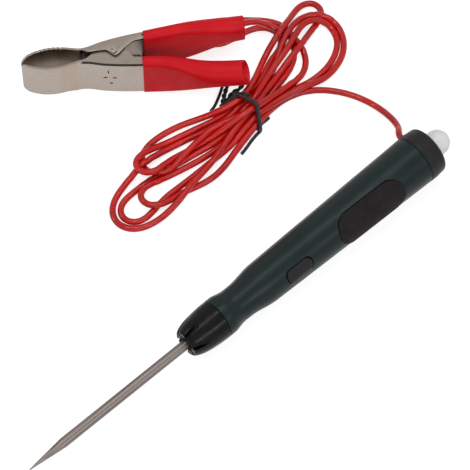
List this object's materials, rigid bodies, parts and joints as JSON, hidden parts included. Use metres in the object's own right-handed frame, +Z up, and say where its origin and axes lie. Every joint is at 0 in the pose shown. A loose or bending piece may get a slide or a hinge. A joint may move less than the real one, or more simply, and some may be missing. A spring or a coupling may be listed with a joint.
{
  "type": "automotive circuit tester",
  "caption": "Hand-held automotive circuit tester: a pointed steel probe in a moulded handle with a push button and a rear lamp, on a long red lead that ends in a sprung battery clip.",
  "frame": {"origin": "on the surface the tester lies on, below the middle of the tester's own length and width; the lead, its tie and the clip on it are left out of that middle", "axes": "+X runs from the spike towards the lamp, +Z is up, and the lead and the clip lie on the +Y side"},
  "size_m": [0.2265, 0.1443, 0.0234],
  "materials": {
    "rod_steel": "polished",
    "nose_plastic": "glossy",
    "handle_plastic": "satin",
    "pad_rubber": "matte",
    "cap_plastic": "satin",
    "pale_plastic": "matte",
    "board_laminate": "satin",
    "contact_brass": "satin",
    "spring_steel": "satin",
    "bulb_glass": "clear",
    "lens_plastic": "frosted",
    "lead_insulation": "glossy",
    "tie_plastic": "satin",
    "clip_steel": "satin nickel plate",
    "sleeve_vinyl": "satin"
  },
  "bodies": {
    "root": {"probe_rod": "rod_steel", "rod_socket": "contact_brass", "nose_cap": "nose_plastic", "handle_shell": "handle_plastic", "grip_pad": "pad_rubber", "switch_body": "cap_plastic", "circuit_board": "board_laminate", "resistors": "pale_plastic", "board_contact": "contact_brass", "contact_spring": "spring_steel", "lamp_terminals": "contact_brass", "lamp_socket": "contact_brass", "lamp_bulb": "bulb_glass", "lamp_dome": "lens_plastic", "rear_cap": "cap_plastic", "lead_bush": "cap_plastic", "lead_inner": "lead_insulation", "lead_to_hank": "lead_insulation", "lead_hank": "lead_insulation", "lead_bight": "lead_insulation", "lead_to_clip": "lead_insulation", "hank_tie": "tie_plastic", "rear_jaw": "clip_steel", "pivot_pin": "clip_steel", "clip_spring": "spring_steel", "rear_sleeve": "sleeve_vinyl", "lead_crimp": "spring_steel"},
    "button": {"switch_button": "pad_rubber", "switch_plunger": "pale_plastic"},
    "front_lever": {"front_jaw": "clip_steel", "front_sleeve": "sleeve_vinyl"}
  },
  "joints": [
    {"name": "button_press", "type": "slide", "parent": "root", "child": "button", "axis": [0.0108, 0.848, -0.5298], "range_m": [0, 0.0008], "stiffness_N_per_m": 100, "springref_m": -0.0002},
    {"name": "clip_hinge", "type": "hinge", "parent": "root", "child": "front_lever", "pos_m": [0.0312, 0.11185, 0.0115], "axis": [0, 0, 1], "range_deg": [0, 10], "stiffness_Nm_per_rad": 0.5, "springref_deg": -8.59, "deforming": ["clip_spring"]}
  ]
}
